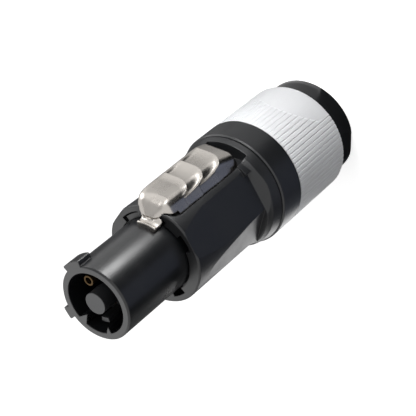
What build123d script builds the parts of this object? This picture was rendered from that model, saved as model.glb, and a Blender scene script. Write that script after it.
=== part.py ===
from build123d import *
import os

os.makedirs("parts", exist_ok=True)

# A locking mains connector for a cable end, in millimetres. It stands on its cable end, with the
# mouth up (+Z), the axis of the barrel on Z, and the thumb latch on the -Y side.

# lengths along the axis
total_length = 93.4
barrel_length = 23.0
key_length = 4.2
bushing_length = 37.0
band_length = 8.0
end_length = 7.4
flare_length = 8.7
ring_height = 3.0

# outer radii
barrel_r = 10.0
mouth_r = 8.2
post_r = 2.85
key_r = 11.4
body_r = 13.5
ring_r = 15.35
ring_front_r = ring_r - 0.6
band_r = 15.75
grip_rear_r = band_r - 0.15
end_r = band_r - 1.8
cable_r = 6.8

# clearances and small edges
slide_gap = 0.1
thread_gap = 0.2
face_gap = 0.3
latch_gap = 0.3
edge = 0.35
key_edge = 0.4
overshoot = 1.0

# heights that follow from the lengths
flange_z = total_length - barrel_length
ring_z = bushing_length + face_gap
flare_z = ring_z + flare_length
band_z = bushing_length - band_length

# bores of the housing: the front one holds the barrel, the rear one the inner works
front_bore_r = barrel_r + slide_gap
rear_bore_r = 10.6
front_bore_length = 8.4
step_z = flange_z - front_bore_length
tail_r = 12.2
tail_length = 16.3
tail_z = ring_z - tail_length

# keys and notches, as angles from the latch about the axis, with their widths
latch_angle = 270
keys = {37: 30, 126.5: 17}
tall_rib_angle = 147.5
small_rib_angle = -150
notches = {37: 29, -54: 23, -143: 20}
notch_r = 11.9
notch_depth = 3.0
boss_r = 11.5
boss_angle = 35
boss_width = 24
groove_depth = 1.0
rib_half_angle = 8.5
rib_height = 2.9
small_rib_width = 11
small_rib_height = 1.7
rib_length = 7.5

# flats on the housing
label_angle = 58
label_depth = 1.25
label_runout = 10.0
label_front_depth = 0.45
facet_angle = 103
facet_depth = 1.05
facet_length = 24.0
flat_rear_z = ring_z + ring_height + 1.6
flat_rear_run = 3.0
block_angle = 28.5
block_width = 19
block_r = 14.2
block_length = 3.1

# latch, which lies between the ring and the flange
latch_floor = 11.6
latch_half = 5.7
latch_travel = 2.2
latch_rear_z = ring_z + 4.3
latch_front_z = flange_z - 0.4
latch_shoulder_z = latch_front_z - 3.2
latch_length = latch_front_z - latch_rear_z
latch_draft = 8
latch_rear_top = ring_r - 1.15
crest = 1.0
scale_tips = (0.109, 0.373, 0.581)
scale_noses = (0.335, 0.232, 0.218)
scale_runs = (0.3, 0.24, 0.26)
scale_tops = (ring_r + 0.35, ring_r + 0.25, ring_r + 0.1)
scale_falls = (1.5, 1.4, 0.2)
slope_top = ring_r - 0.15
slope_length = 4.2
head_length = 2.6
head_width = 28
head_middle = -3
neck_length = 2.0
neck_width = 20
neck_middle = 1
side_play = 4
tongue_r = 11.3
tongue_z = flange_z + 3.2

# latch spring, in a channel under the latch, against a peg on the housing
spring_r = 0.65
spring_wire_r = 0.18
spring_turns = 6
peg_half = 0.8
peg_length = 2.0
peg_z = latch_rear_z + 1.8
channel_half = peg_half + latch_gap
channel_top = latch_floor + 1.85
channel_front_z = latch_rear_z + 0.54 * latch_length

# contacts in the core: the earth contact stands forward of its chamber and meets first
contact_angles = {"live": 160, "neutral": -74, "earth": 48}
contact_recess = {"live": 8.6, "neutral": 8.6, "earth": 2.6}
contact_ring_r = 5.15
socket_r = 1.35
socket_bore_r = 0.9
socket_bore_depth = 16.0
chamber_r = 2.3
chamber_recess = 8.0
mouth_depth = 20.0
fin_angle = -170
fin_width = 22
fin_inner_r = 5.1
fin_outer_r = 6.3
fin_recess = 2.0
terminal_width = 4.4
terminal_depth = 4.6
terminal_length = 10.5
terminal_r = 6.6
terminal_wall = 1.5
wire_hole_r = 1.3
screw_r = 1.1
screw_head_r = 1.7
screw_head = 1.0
screw_slot = 0.5
clamp_thickness = 0.7
clamp_inset = 0.4

# inner works
collar_r = rear_bore_r - slide_gap
collar_length = 4.0
insert_rear_z = step_z - collar_length
carrier_length = 13.5
carrier_rear_z = insert_rear_z - carrier_length
chuck_r = rear_bore_r - slide_gap
chuck_front_z = carrier_rear_z - slide_gap
chuck_collar = 12.0
chuck_wall = 1.6
chuck_taper = 8.0
chuck_shoulder = 3.0
finger_z = 5.0
seal_bore_r = cable_r + 0.4
seal_r = seal_bore_r + 1.2
finger_tip_r = seal_r + 1.0
finger_count = 6
finger_gap = 1.4
seal_length = 14.0
gasket_r = tail_r + 1.1
gasket_height = 1.2

# grip
grip_bore_r = end_r - 0.55
rib_count = 72
rib_depth = 0.22
rib_width = 0.75
patches = {40: 11.1, 68: 6.2}
end_flat = 0.6


def radial_plane(angle):
    """The plane through the axis at an angle from the latch: X runs outwards, Y up."""
    out = Vector(1, 0, 0).rotate(Axis.Z, latch_angle + angle)
    return Plane(origin=(0, 0, 0), x_dir=out, z_dir=out.cross(Vector(0, 0, 1)))


def sector(inner, outer, angle, width):
    """A ring sector between two radii, width degrees wide about an angle from the latch."""
    start = latch_angle + angle - width / 2
    with BuildLine() as outline:
        low = CenterArc((0, 0), inner, start, width)
        high = CenterArc((0, 0), outer, start, width)
        Line(low @ 0, high @ 0)
        Line(low @ 1, high @ 1)
    make_face(outline.edges())


def latch_outline(gap, rear):
    """The latch's outline on its floor, widened by a gap, with a rounded front."""
    half = latch_half + gap
    neck = latch_half / 3 + gap
    with BuildLine() as outline:
        Polyline((-half, latch_shoulder_z), (-half, rear), (half, rear), (half, latch_shoulder_z))
        for side in (-1, 1):
            ThreePointArc(
                (side * half, latch_shoulder_z),
                (side * (half * 0.84), latch_front_z - 1.1 + gap),
                (side * neck, latch_front_z + gap),
            )
        Line((-neck, latch_front_z + gap), (neck, latch_front_z + gap))
    make_face(outline.edges())


# Housing: a black body with a flared rear ring, a threaded tail inside the bushing, the latch
# pocket, and a label flat and a grip facet on each side.
with BuildPart() as housing:
    with BuildSketch(Plane.XZ):
        with BuildLine():
            Polyline(
                (rear_bore_r, tail_z),
                (tail_r, tail_z),
                (tail_r, ring_z),
                (ring_r, ring_z),
                (ring_front_r, ring_z + ring_height),
            )
            TangentArc((body_r, flare_z), (ring_front_r, ring_z + ring_height), tangent=(0, -1))
            Polyline(
                (body_r, flare_z),
                (body_r, flange_z - edge),
                (body_r - edge, flange_z),
                (front_bore_r + latch_gap, flange_z),
                (front_bore_r + latch_gap, flange_z - groove_depth),
                (front_bore_r, flange_z - groove_depth),
                (front_bore_r, step_z),
                (rear_bore_r, step_z),
                (rear_bore_r, tail_z),
            )
        make_face()
    revolve(axis=Axis.Z)

    # label flats, sloping in behind the front edge and ramping out at the ring
    for side in (-1, 1):
        with BuildSketch(radial_plane(side * label_angle)):
            with BuildLine():
                Polyline(
                    (body_r - label_front_depth, flange_z),
                    (body_r - label_depth, flange_z - label_runout),
                    (body_r - label_depth, flat_rear_z),
                    (ring_r + overshoot, flat_rear_z - flat_rear_run),
                    (ring_r + overshoot, flange_z),
                    close=True,
                )
            make_face()
        extrude(amount=body_r, both=True, mode=Mode.SUBTRACT)

    # grip facets below them, sloping in towards the ring
    for side in (-1, 1):
        with BuildSketch(radial_plane(side * facet_angle)):
            with BuildLine():
                Polyline(
                    (body_r, flat_rear_z + facet_length),
                    (body_r - facet_depth, flat_rear_z),
                    (ring_r + overshoot, flat_rear_z),
                    (ring_r + overshoot, flat_rear_z + facet_length),
                    close=True,
                )
            make_face()
        extrude(amount=body_r, both=True, mode=Mode.SUBTRACT)

    # blocks that close the rails beside the latch at their rear ends
    with BuildSketch(Plane.XY.offset(ring_z + ring_height)):
        for side in (-1, 1):
            sector(tail_r, block_r, side * block_angle, block_width)
    extrude(amount=block_length)

    # latch pocket, closed round the latch's rounded front, with a way out for the neck and head
    pocket_rear_z = latch_rear_z - latch_travel - latch_gap
    with BuildSketch(Plane.XZ.offset(latch_floor)):
        latch_outline(latch_gap, pocket_rear_z)
        with Locations((0, flange_z)):
            Rectangle(2 * (latch_half / 3 + latch_gap), 2 * overshoot)
    extrude(amount=ring_r, mode=Mode.SUBTRACT)
    head_way_z = tongue_z - head_length - latch_travel - latch_gap
    neck_way_z = latch_front_z - neck_length - latch_travel - latch_gap
    with BuildSketch(Plane.XY.offset(head_way_z)):
        sector(barrel_r, tongue_r + latch_gap, head_middle, head_width + side_play)
    extrude(amount=flange_z - head_way_z, mode=Mode.SUBTRACT)
    with BuildSketch(Plane.XY.offset(neck_way_z)):
        sector(barrel_r, latch_floor + edge, neck_middle, neck_width + side_play)
    extrude(amount=flange_z - neck_way_z, mode=Mode.SUBTRACT)

    # coding notches in the front face, the first of them with a boss in it
    with BuildSketch(Plane.XY.offset(flange_z - notch_depth)):
        for angle, width in notches.items():
            sector(front_bore_r - slide_gap, notch_r, angle, width)
    extrude(amount=notch_depth, mode=Mode.SUBTRACT)
    with BuildSketch(Plane.XY.offset(flange_z - notch_depth)):
        sector(front_bore_r, boss_r, boss_angle, boss_width)
    extrude(amount=notch_depth - edge)

    # peg that carries the rear end of the latch spring
    with BuildSketch(Plane.XZ.offset(latch_floor - edge)):
        with Locations((0, peg_z + peg_length / 2)):
            Rectangle(2 * peg_half, peg_length)
    extrude(amount=channel_top - latch_gap - latch_floor + edge)

housing.part.label = "housing"
export_step(housing.part, "parts/housing.step")


# Insert: the keyed barrel with its collar, which reaches back into the housing.
with BuildPart() as insert:
    with BuildSketch(Plane.XZ):
        with BuildLine():
            Polyline(
                (mouth_r, insert_rear_z),
                (collar_r, insert_rear_z),
                (collar_r, step_z - slide_gap),
                (barrel_r, step_z - slide_gap),
                (barrel_r, total_length - edge),
                (barrel_r - edge, total_length),
                (mouth_r, total_length),
                close=True,
            )
        make_face()
    revolve(axis=Axis.Z)
    with BuildSketch(Plane.XY.offset(total_length - key_length)) as key_shapes:
        for angle, width in keys.items():
            sector(barrel_r - edge, key_r, angle, width)
        fillet(key_shapes.vertices().group_by(SortBy.DISTANCE)[-1], radius=key_edge)
    extrude(amount=key_length)

    # three-cornered coding ribs on the inner wall, the small one leaning to one side
    wall = Vector(mouth_r + slide_gap, 0)
    with BuildSketch(Plane.XY.offset(total_length - rib_length)):
        with BuildLine() as tall_rib:
            Polyline(
                wall.rotate(Axis.Z, latch_angle + tall_rib_angle - rib_half_angle),
                wall.rotate(Axis.Z, latch_angle + tall_rib_angle + rib_half_angle),
                Vector(mouth_r - rib_height, 0).rotate(Axis.Z, latch_angle + tall_rib_angle),
                close=True,
            )
        make_face(tall_rib.edges())
        with BuildLine() as small_rib:
            Polyline(
                wall.rotate(Axis.Z, latch_angle + small_rib_angle),
                wall.rotate(Axis.Z, latch_angle + small_rib_angle - small_rib_width),
                Vector(mouth_r - small_rib_height, 0).rotate(Axis.Z, latch_angle + small_rib_angle),
                close=True,
            )
        make_face(small_rib.edges())
    extrude(amount=rib_length)

insert.part.label = "insert"
export_step(insert.part, "parts/insert.step")


# Contact core: the floor of the mouth with the centre post and a chamber round each contact.
with BuildPart() as core:
    floor_z = total_length - mouth_depth
    core_top_z = total_length - chamber_recess
    with BuildSketch(Plane.XY.offset(insert_rear_z)):
        Circle(mouth_r - slide_gap / 2)
    extrude(amount=floor_z - insert_rear_z)
    with BuildSketch(Plane.XY.offset(floor_z)):
        Circle(post_r)
    extrude(amount=mouth_depth)
    with BuildSketch(Plane.XY.offset(floor_z)):
        for angle in contact_angles.values():
            with PolarLocations(contact_ring_r, 1, start_angle=latch_angle + angle):
                Circle(chamber_r)
    extrude(amount=core_top_z - floor_z)
    with BuildSketch(Plane.XY.offset(floor_z)):
        sector(fin_inner_r, fin_outer_r, fin_angle, fin_width)
    extrude(amount=mouth_depth - fin_recess)
    with BuildSketch(Plane.XY.offset(insert_rear_z)):
        for angle in contact_angles.values():
            with PolarLocations(contact_ring_r, 1, start_angle=latch_angle + angle):
                Circle(socket_r + slide_gap / 2)
    extrude(amount=total_length - insert_rear_z, mode=Mode.SUBTRACT)

core.part.label = "contact_core"
export_step(core.part, "parts/contact_core.step")


# Contact carrier: the rear half of the contact body, a block with three open terminal pockets.
with BuildPart() as carrier:
    with BuildSketch(Plane.XY.offset(carrier_rear_z)):
        Circle(collar_r)
    extrude(amount=carrier_length)
    with BuildSketch(Plane.XY.offset(carrier_rear_z)):
        for angle in contact_angles.values():
            with PolarLocations(contact_ring_r + collar_r / 2, 1, start_angle=latch_angle + angle):
                Rectangle(
                    collar_r + terminal_depth,
                    terminal_width + slide_gap,
                )
    extrude(amount=carrier_length - terminal_wall, mode=Mode.SUBTRACT)
    with BuildSketch(Plane.XY.offset(carrier_rear_z)):
        for angle in contact_angles.values():
            with PolarLocations(contact_ring_r, 1, start_angle=latch_angle + angle):
                Circle(socket_r + slide_gap / 2)
    extrude(amount=carrier_length, mode=Mode.SUBTRACT)

carrier.part.label = "contact_carrier"
export_step(carrier.part, "parts/contact_carrier.step")


# Contacts, clamp plates and terminal screws: each contact is a socket in front and a wire
# terminal behind, closed by a plate that a radial screw presses on the wire.
terminal_z = insert_rear_z - terminal_wall - slide_gap - terminal_length
screw_z = terminal_z + terminal_length * 0.4
for name, angle in contact_angles.items():
    pole = radial_plane(angle)
    out = pole.x_dir
    terminal_plane = Plane(origin=out * terminal_r + Vector(0, 0, terminal_z), x_dir=out)
    screw_plane = Plane(origin=out * terminal_r + Vector(0, 0, screw_z), x_dir=(0, 0, 1), z_dir=out)

    socket_top_z = total_length - contact_recess[name]

    with BuildPart() as contact:
        with BuildSketch(terminal_plane):
            Rectangle(terminal_depth, terminal_width)
        extrude(amount=terminal_length)
        with BuildSketch(Plane(origin=out * contact_ring_r + Vector(0, 0, terminal_z))):
            Circle(socket_r)
        extrude(amount=socket_top_z - terminal_z)
        bore_foot = out * contact_ring_r + Vector(0, 0, socket_top_z - socket_bore_depth)
        with BuildSketch(Plane(origin=bore_foot)):
            Circle(socket_bore_r)
        extrude(amount=socket_bore_depth, mode=Mode.SUBTRACT)
        # the wire hole from behind, widened outwards for the clamp plate
        with BuildSketch(terminal_plane):
            Circle(wire_hole_r)
            with Locations((wire_hole_r - clamp_thickness / 2, 0)):
                Rectangle(clamp_thickness, 2 * wire_hole_r + clamp_inset)
        extrude(amount=terminal_length * 0.8, mode=Mode.SUBTRACT)
        with BuildSketch(screw_plane):
            Circle(screw_r + slide_gap / 2)
        extrude(amount=terminal_depth, mode=Mode.SUBTRACT)
    contact.part.label = f"contact_{name}"
    export_step(contact.part, f"parts/contact_{name}.step")

    with BuildPart() as clamp:
        with BuildSketch(terminal_plane.offset(clamp_inset)):
            with Locations((wire_hole_r - clamp_thickness / 2, 0)):
                Rectangle(clamp_thickness - slide_gap / 2, 2 * wire_hole_r)
        extrude(amount=terminal_length * 0.7)
    clamp.part.label = f"clamp_plate_{name}"
    export_step(clamp.part, f"parts/clamp_plate_{name}.step")

    with BuildPart() as screw:
        head_foot = terminal_depth / 2
        with BuildSketch(screw_plane.offset(wire_hole_r)):
            Circle(screw_r)
        extrude(amount=head_foot + slide_gap - wire_hole_r)
        with BuildSketch(screw_plane.offset(head_foot + slide_gap)):
            Circle(screw_head_r)
        extrude(amount=screw_head)
        with BuildSketch(screw_plane.offset(head_foot + slide_gap + screw_head / 2)):
            Rectangle(2 * screw_head_r, screw_slot)
        extrude(amount=screw_head, mode=Mode.SUBTRACT)
    screw.part.label = f"terminal_screw_{name}"
    export_step(screw.part, f"parts/terminal_screw_{name}.step")


# Latch: one casting with three thumb scales that overlap towards the rear, a neck through the
# front of the pocket, and a tongue head lying along the barrel.
with BuildPart() as latch:
    foot_y = latch_floor + slide_gap
    with BuildSketch(Plane.XZ.offset(foot_y)):
        with Locations((0, (latch_rear_z + latch_shoulder_z) / 2)):
            Rectangle(2 * latch_half, latch_shoulder_z - latch_rear_z)
    extrude(amount=scale_tops[0] - scale_falls[0] - foot_y, taper=latch_draft)
    for place, nose_share, run_share, top, fall in zip(
        scale_tips, scale_noses, scale_runs, scale_tops, scale_falls
    ):
        tip = latch_rear_z + place * latch_length
        nose = nose_share * latch_length
        run = run_share * latch_length
        with BuildSketch(Plane.XZ.offset(foot_y)):
            with BuildLine():
                EllipticalCenterArc((0, tip + nose), latch_half, nose, start_angle=180, arc_size=180)
                Polyline(
                    (-latch_half, tip + nose),
                    (-latch_half, latch_shoulder_z),
                    (latch_half, latch_shoulder_z),
                    (latch_half, tip + nose),
                )
            make_face()
        extrude(amount=top + overshoot - foot_y, taper=latch_draft)
        # the top of each scale: a flat crest, then a hollow that falls to the next scale's foot
        with BuildSketch(Plane.YZ):
            with BuildLine():
                Line((-top, tip - overshoot), (-top, tip + crest))
                ThreePointArc(
                    (-top, tip + crest),
                    (-top + fall * 0.7, tip + crest + run * 0.45),
                    (-top + fall, tip + crest + run),
                )
                Polyline(
                    (-top + fall, tip + crest + run),
                    (-top + fall, latch_front_z + overshoot),
                    (-top - 3 * overshoot, latch_front_z + overshoot),
                    (-top - 3 * overshoot, tip - overshoot),
                    (-top, tip - overshoot),
                )
            make_face()
        extrude(amount=latch_half, both=True, mode=Mode.SUBTRACT)

    # front part from the shoulder to the neck, as high as the last scale
    with BuildSketch(Plane.XZ.offset(foot_y)):
        latch_outline(0, latch_shoulder_z - overshoot)
    extrude(amount=slope_top - foot_y, taper=latch_draft)

    # neck and tongue head, curved with the barrel
    tongue_bore_r = front_bore_r + latch_gap - slide_gap
    with BuildSketch(Plane.XY.offset(latch_front_z - neck_length)):
        sector(tongue_bore_r, latch_floor + edge, neck_middle, neck_width)
    extrude(amount=neck_length)
    with BuildSketch(Plane.XY.offset(latch_front_z)):
        sector(tongue_bore_r, tongue_r, neck_middle, neck_width)
    extrude(amount=tongue_z - latch_front_z)
    with BuildSketch(Plane.XY.offset(tongue_z - head_length)):
        sector(tongue_bore_r, tongue_r, head_middle, head_width)
    extrude(amount=head_length)

    # slopes at the front, swelling from the neck to the pad, and at the rear
    with BuildSketch(Plane.YZ):
        with BuildLine() as front_slope:
            Line((-tongue_r, latch_front_z + overshoot), (-tongue_r, latch_front_z + edge))
            Spline(
                (-tongue_r, latch_front_z + edge),
                (-tongue_r - 0.4 * (slope_top - tongue_r), latch_front_z - 0.16 * slope_length),
                (-tongue_r - 0.8 * (slope_top - tongue_r), latch_front_z - 0.5 * slope_length),
                (-slope_top, latch_front_z - slope_length),
                tangents=[(0, -1), (-0.1, -1)],
            )
            Polyline(
                (-slope_top, latch_front_z - slope_length),
                (-slope_top - 3 * overshoot, latch_front_z - slope_length),
                (-slope_top - 3 * overshoot, latch_front_z + overshoot),
                (-tongue_r, latch_front_z + overshoot),
            )
        make_face(front_slope.edges())
        with BuildLine() as rear_slope:
            tip = latch_rear_z + scale_tips[0] * latch_length
            Polyline(
                (-latch_rear_top, latch_rear_z),
                (-scale_tops[0] + edge, tip),
                (-scale_tops[0] - 3 * overshoot, tip),
                (-scale_tops[0] - 3 * overshoot, latch_rear_z),
                close=True,
            )
        make_face(rear_slope.edges())
    extrude(amount=latch_half, both=True, mode=Mode.SUBTRACT)

    # channel for the spring
    with BuildSketch(Plane.XZ.offset(foot_y - edge)):
        with Locations((0, (latch_rear_z + channel_front_z) / 2)):
            Rectangle(2 * channel_half, channel_front_z - latch_rear_z)
    extrude(amount=channel_top - foot_y + edge, mode=Mode.SUBTRACT)

latch.part.label = "latch"
export_step(latch.part, "parts/latch.step")


# Latch spring: a coil between the peg and the front wall of the channel.
with BuildPart() as latch_spring:
    spring_start_z = peg_z + peg_length + spring_wire_r
    spring_length = channel_front_z - spring_start_z - spring_wire_r
    spring_y = -latch_floor - spring_r - spring_wire_r - slide_gap / 2
    with BuildLine():
        coil = Helix(
            pitch=spring_length / spring_turns,
            height=spring_length,
            radius=spring_r,
            center=(0, spring_y, spring_start_z),
        )
    with BuildSketch(Plane(origin=coil @ 0, z_dir=coil % 0)):
        RegularPolygon(spring_wire_r, 6)
    sweep()

latch_spring.part.label = "latch_spring"
export_step(latch_spring.part, "parts/latch_spring.step")


# Chuck: a plain collar that pushes the contact body home, and six fingers that the bushing closes
# on the cable.
with BuildPart() as chuck:
    collar_rear_z = chuck_front_z - chuck_collar
    with BuildSketch(Plane.XZ):
        with BuildLine():
            Polyline(
                (seal_r, finger_z),
                (finger_tip_r, finger_z),
                (chuck_r, collar_rear_z - chuck_taper),
                (chuck_r, chuck_front_z),
                (chuck_r - chuck_wall, chuck_front_z),
                (chuck_r - chuck_wall, collar_rear_z),
                (seal_r, collar_rear_z - chuck_shoulder),
                close=True,
            )
        make_face()
    revolve(axis=Axis.Z)
    with BuildSketch(Plane.XY.offset(finger_z)):
        with PolarLocations(chuck_r, finger_count):
            Rectangle(chuck_r, finger_gap)
    extrude(amount=collar_rear_z - finger_z, mode=Mode.SUBTRACT)

chuck.part.label = "chuck"
export_step(chuck.part, "parts/chuck.step")


# Cable seal: a rubber sleeve inside the fingers.
with BuildPart() as seal:
    with BuildSketch(Plane.XY.offset(finger_z)):
        Circle(seal_r)
        Circle(seal_bore_r, mode=Mode.SUBTRACT)
    extrude(amount=seal_length)
seal.part.label = "cable_seal"
export_step(seal.part, "parts/cable_seal.step")


# Gasket: a ring round the root of the tail, in a recess of the bushing.
with BuildPart() as gasket:
    with BuildSketch(Plane.XY.offset(ring_z - gasket_height)):
        Circle(gasket_r)
        Circle(tail_r, mode=Mode.SUBTRACT)
    extrude(amount=gasket_height)
gasket.part.label = "gasket"
export_step(gasket.part, "parts/gasket.step")


# Bushing: the black core with the front band and the cable end, screwed on the housing's tail.
with BuildPart() as bushing:
    thread_r = tail_r + thread_gap
    cone_top_z = tail_z - face_gap
    with BuildSketch(Plane.XZ):
        with BuildLine():
            Polyline(
                (cable_r, 0),
                (end_r - edge, 0),
                (end_r, edge),
                (end_r, end_length),
                (grip_bore_r, end_length),
                (grip_bore_r, band_z),
                (band_r, band_z),
                (band_r, bushing_length - edge),
                (band_r - edge, bushing_length),
                (gasket_r + thread_gap, bushing_length),
                (gasket_r + thread_gap, ring_z - gasket_height - face_gap),
                (thread_r, ring_z - gasket_height - face_gap),
                (thread_r, cone_top_z),
                (chuck_r + slide_gap, cone_top_z),
                (finger_tip_r + slide_gap, finger_z - slide_gap),
                (cable_r, finger_z - slide_gap),
                close=True,
            )
        make_face()
    revolve(axis=Axis.Z)
    # two flats beside the cable for a wrench
    with BuildSketch(Plane.XY):
        for side in (-1, 1):
            with Locations((side * end_r, 0)):
                Rectangle(2 * end_flat, 2 * end_r)
    extrude(amount=end_length - edge, mode=Mode.SUBTRACT)

bushing.part.label = "bushing"
export_step(bushing.part, "parts/bushing.step")


# Grip: the light ribbed sleeve moulded over the bushing, with smooth facets at its rear end.
with BuildPart() as grip:
    with BuildSketch(Plane.XZ):
        with BuildLine():
            Polyline(
                (grip_bore_r, end_length),
                (grip_rear_r - edge, end_length),
                (grip_rear_r, end_length + edge),
                (band_r, band_z),
                (grip_bore_r, band_z),
                close=True,
            )
        make_face()
    revolve(axis=Axis.Z)
    with BuildSketch(Plane.XY.offset(end_length)):
        with PolarLocations(band_r, rib_count):
            Rectangle(2 * rib_depth, rib_width)
    extrude(amount=band_z - end_length, mode=Mode.SUBTRACT)
    # smooth patches at the rear end, where the ribs are cut to their feet
    for width, length in patches.items():
        with BuildSketch(Plane.XY.offset(end_length)):
            for angle in (0, 180):
                sector(grip_rear_r - rib_depth, band_r + overshoot, angle, width)
        extrude(amount=length, mode=Mode.SUBTRACT)

grip.part.label = "bushing_grip"
export_step(grip.part, "parts/bushing_grip.step")
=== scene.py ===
# %% [markdown]
# # A locking cable connector in Blender
# The connector's pieces come ready made from the CAD frame, in metres, standing on the cable end
# with the mouth up. This lesson gives them their finishes, adds what is too fine for the CAD, and
# sets up the camera and a small product studio.

# %% Load the frame
import math

import bmesh
import bpy
from mathutils import Matrix, Vector


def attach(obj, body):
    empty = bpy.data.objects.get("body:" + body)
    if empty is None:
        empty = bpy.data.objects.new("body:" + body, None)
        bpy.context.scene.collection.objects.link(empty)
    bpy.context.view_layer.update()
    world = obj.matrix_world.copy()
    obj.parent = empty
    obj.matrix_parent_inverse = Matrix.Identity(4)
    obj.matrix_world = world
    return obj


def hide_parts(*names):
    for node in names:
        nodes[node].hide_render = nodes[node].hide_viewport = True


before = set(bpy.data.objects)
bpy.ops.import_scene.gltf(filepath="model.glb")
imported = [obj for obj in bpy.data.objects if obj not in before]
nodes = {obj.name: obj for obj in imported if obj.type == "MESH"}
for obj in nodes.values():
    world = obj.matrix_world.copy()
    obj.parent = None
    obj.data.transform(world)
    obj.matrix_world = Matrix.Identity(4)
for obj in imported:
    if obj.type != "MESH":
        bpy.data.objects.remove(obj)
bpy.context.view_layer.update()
MM = 0.001
print("pieces from the CAD:", len(nodes))

# %% [markdown]
# ## Colour and nodes
# Colours are written as sRGB hex, the way a designer picks them, and Blender's sockets want linear
# light. One function does that conversion. Another adds a node, with its settings, values and
# links in one call, so a material reads as a short list of steps.

# %% Helpers for colours and nodes
MATH = "ShaderNodeMath"


def colour(hex_code):
    """An sRGB hex colour as linear RGBA."""
    parts = [int(hex_code[i:i + 2], 16) / 255 for i in (1, 3, 5)]
    linear = [p / 12.92 if p <= 0.04045 else ((p + 0.055) / 1.055) ** 2.4 for p in parts]
    return (*linear, 1.0)


def add(tree, kind, inputs=None, **settings):
    """Adds a node, sets its settings, and fills inputs, given by name or in their order.

    A socket is linked, a node is linked by its first output, and anything else is a value.
    """
    made = tree.nodes.new(kind)
    for name, value in settings.items():
        setattr(made, name, value)
    if isinstance(inputs, tuple):
        inputs = dict(enumerate(inputs))
    for key, value in (inputs or {}).items():
        if isinstance(value, bpy.types.Node):
            value = value.outputs[0]
        if isinstance(value, bpy.types.NodeSocket):
            tree.links.new(value, made.inputs[key])
        else:
            made.inputs[key].default_value = value
    return made


# %% Helpers for materials and objects
def new_material(name):
    """An empty material with its node tree."""
    material = bpy.data.materials.new(name)
    material.use_nodes = True
    material.node_tree.nodes.clear()
    return material, material.node_tree


def new_object(name, data):
    """An object in the scene, made from its mesh, lamp or camera."""
    made = bpy.data.objects.new(name, data)
    bpy.context.collection.objects.link(made)
    return made


dressed = []


def dress(material, *names):
    """Gives CAD nodes their material."""
    for name in names:
        mesh = nodes[name].data
        mesh.materials.clear()
        mesh.materials.append(material)
        dressed.append(name)


# %% [markdown]
# ## What all finishes share
# Plastic from a mould and metal from a tumbler have the same build: a fine grain that catches the
# light, a slow change of colour and roughness over some millimetres, and corners that are never
# quite sharp. A noise of the grain's real size drives a shallow bump, a second and larger noise
# drives the slow change, and a bevel node rounds the light on the corners. Painted textures could
# do the same, but noises on Object coordinates need no unwrapping and stay true to size.


# %% A function for grained surfaces
# the range in which most of a noise's values lie, and the rays that round a corner
NOISE_LOW, NOISE_HIGH = 0.3, 0.7
CORNER_SAMPLES = 4


def grained(name, base, deep, rough, grain_mm, depth_mm, corner_mm, family, look):
    """A surface with a fine bump, and a slow change between two colours and of roughness.

    family holds the detail and harshness of the grain, the size, detail and harshness of the
    slow change, and how far the roughness strays. look is what else the Principled BSDF takes.
    """
    material, tree = new_material(name)
    place = add(tree, "ShaderNodeTexCoord").outputs["Object"]
    noises = []
    for size_mm, detail, harshness in ((grain_mm, *family["grain"]), family["slow"]):
        noises.append(add(tree, "ShaderNodeTexNoise", {
            "Vector": place, "Scale": 1 / (size_mm * MM), "Detail": detail,
            "Roughness": harshness}).outputs["Fac"])
    fine, broad = noises
    tint = add(tree, "ShaderNodeMix", {
        "Factor": broad, "A": colour(deep), "B": colour(base)}, data_type="RGBA")
    roughness = add(tree, "ShaderNodeMapRange", {
        "Value": broad, "From Min": NOISE_LOW, "From Max": NOISE_HIGH,
        "To Min": rough - family["stray"], "To Max": rough + family["stray"]})
    corner = add(tree, "ShaderNodeBevel", {"Radius": corner_mm * MM}, samples=CORNER_SAMPLES)
    bump = add(tree, "ShaderNodeBump", {
        "Height": fine, "Distance": depth_mm * MM, "Strength": 1.0, "Normal": corner})
    surface = add(tree, "ShaderNodeBsdfPrincipled", {
        "Base Color": tint.outputs["Result"], "Roughness": roughness.outputs["Result"],
        "Normal": bump, **look})
    add(tree, "ShaderNodeOutputMaterial", {"Surface": surface})
    return material


# %% [markdown]
# ## Moulded plastics
# The dark shells are glass-filled nylon from a spark-eroded mould, which leaves a fine, even
# orange-skin grain. The roughness drifts a little over some 9 mm, as the flow in the mould makes
# it do. Nylon, polyester and rubber all bend light by nearly the same amount, so one IOR serves,
# and the gloss says how much of the highlight the grain leaves.

# %% Plastics and rubber
RESIN_IOR = 1.53
MOULDED = {"grain": (2.0, 0.5), "slow": (9, 3.0, 0.6), "stray": 0.04}


def moulded(name, base, deep, rough, grain_mm, depth_mm, gloss, corner_mm=0.15):
    """Plastic with mould grain: two near colours, a roughness and the grain's size and depth."""
    return grained(name, base, deep, rough, grain_mm, depth_mm, corner_mm, MOULDED,
                   {"Specular IOR Level": gloss, "IOR": RESIN_IOR})


# The housing and the bushing core: dark, with a dull sheen that spreads the light widely.
housing_nylon = moulded("moulded PA-GF black", "#18191B", "#151618", rough=0.38, grain_mm=0.22,
                        depth_mm=0.012, gloss=0.5, corner_mm=0.3)
# The insert: the same resin from a smoother tool, so its barrel shows a cleaner highlight.
insert_nylon = moulded("moulded PA black, smooth tool", "#18191B", "#151618", rough=0.31,
                       grain_mm=0.3, depth_mm=0.006, gloss=0.55, corner_mm=0.35)
# The floor of the mouth and its post: the same black resin, painted a little greyer than the
# barrel, as the photo shows them; the grey is painted light, for the light falling into the mouth.
mouth_nylon_painted_light = moulded("moulded PA black, painted light in the mouth", "#333436", "#2E2F31", rough=0.4,
                     grain_mm=0.3, depth_mm=0.006, gloss=0.5, corner_mm=0.3)
# Inner pieces that nobody polishes: dark grey and dull.
inner_nylon = moulded("moulded PA dark grey", "#3A3B3E", "#323335", rough=0.55, grain_mm=0.25,
                      depth_mm=0.015, gloss=0.3)
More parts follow.
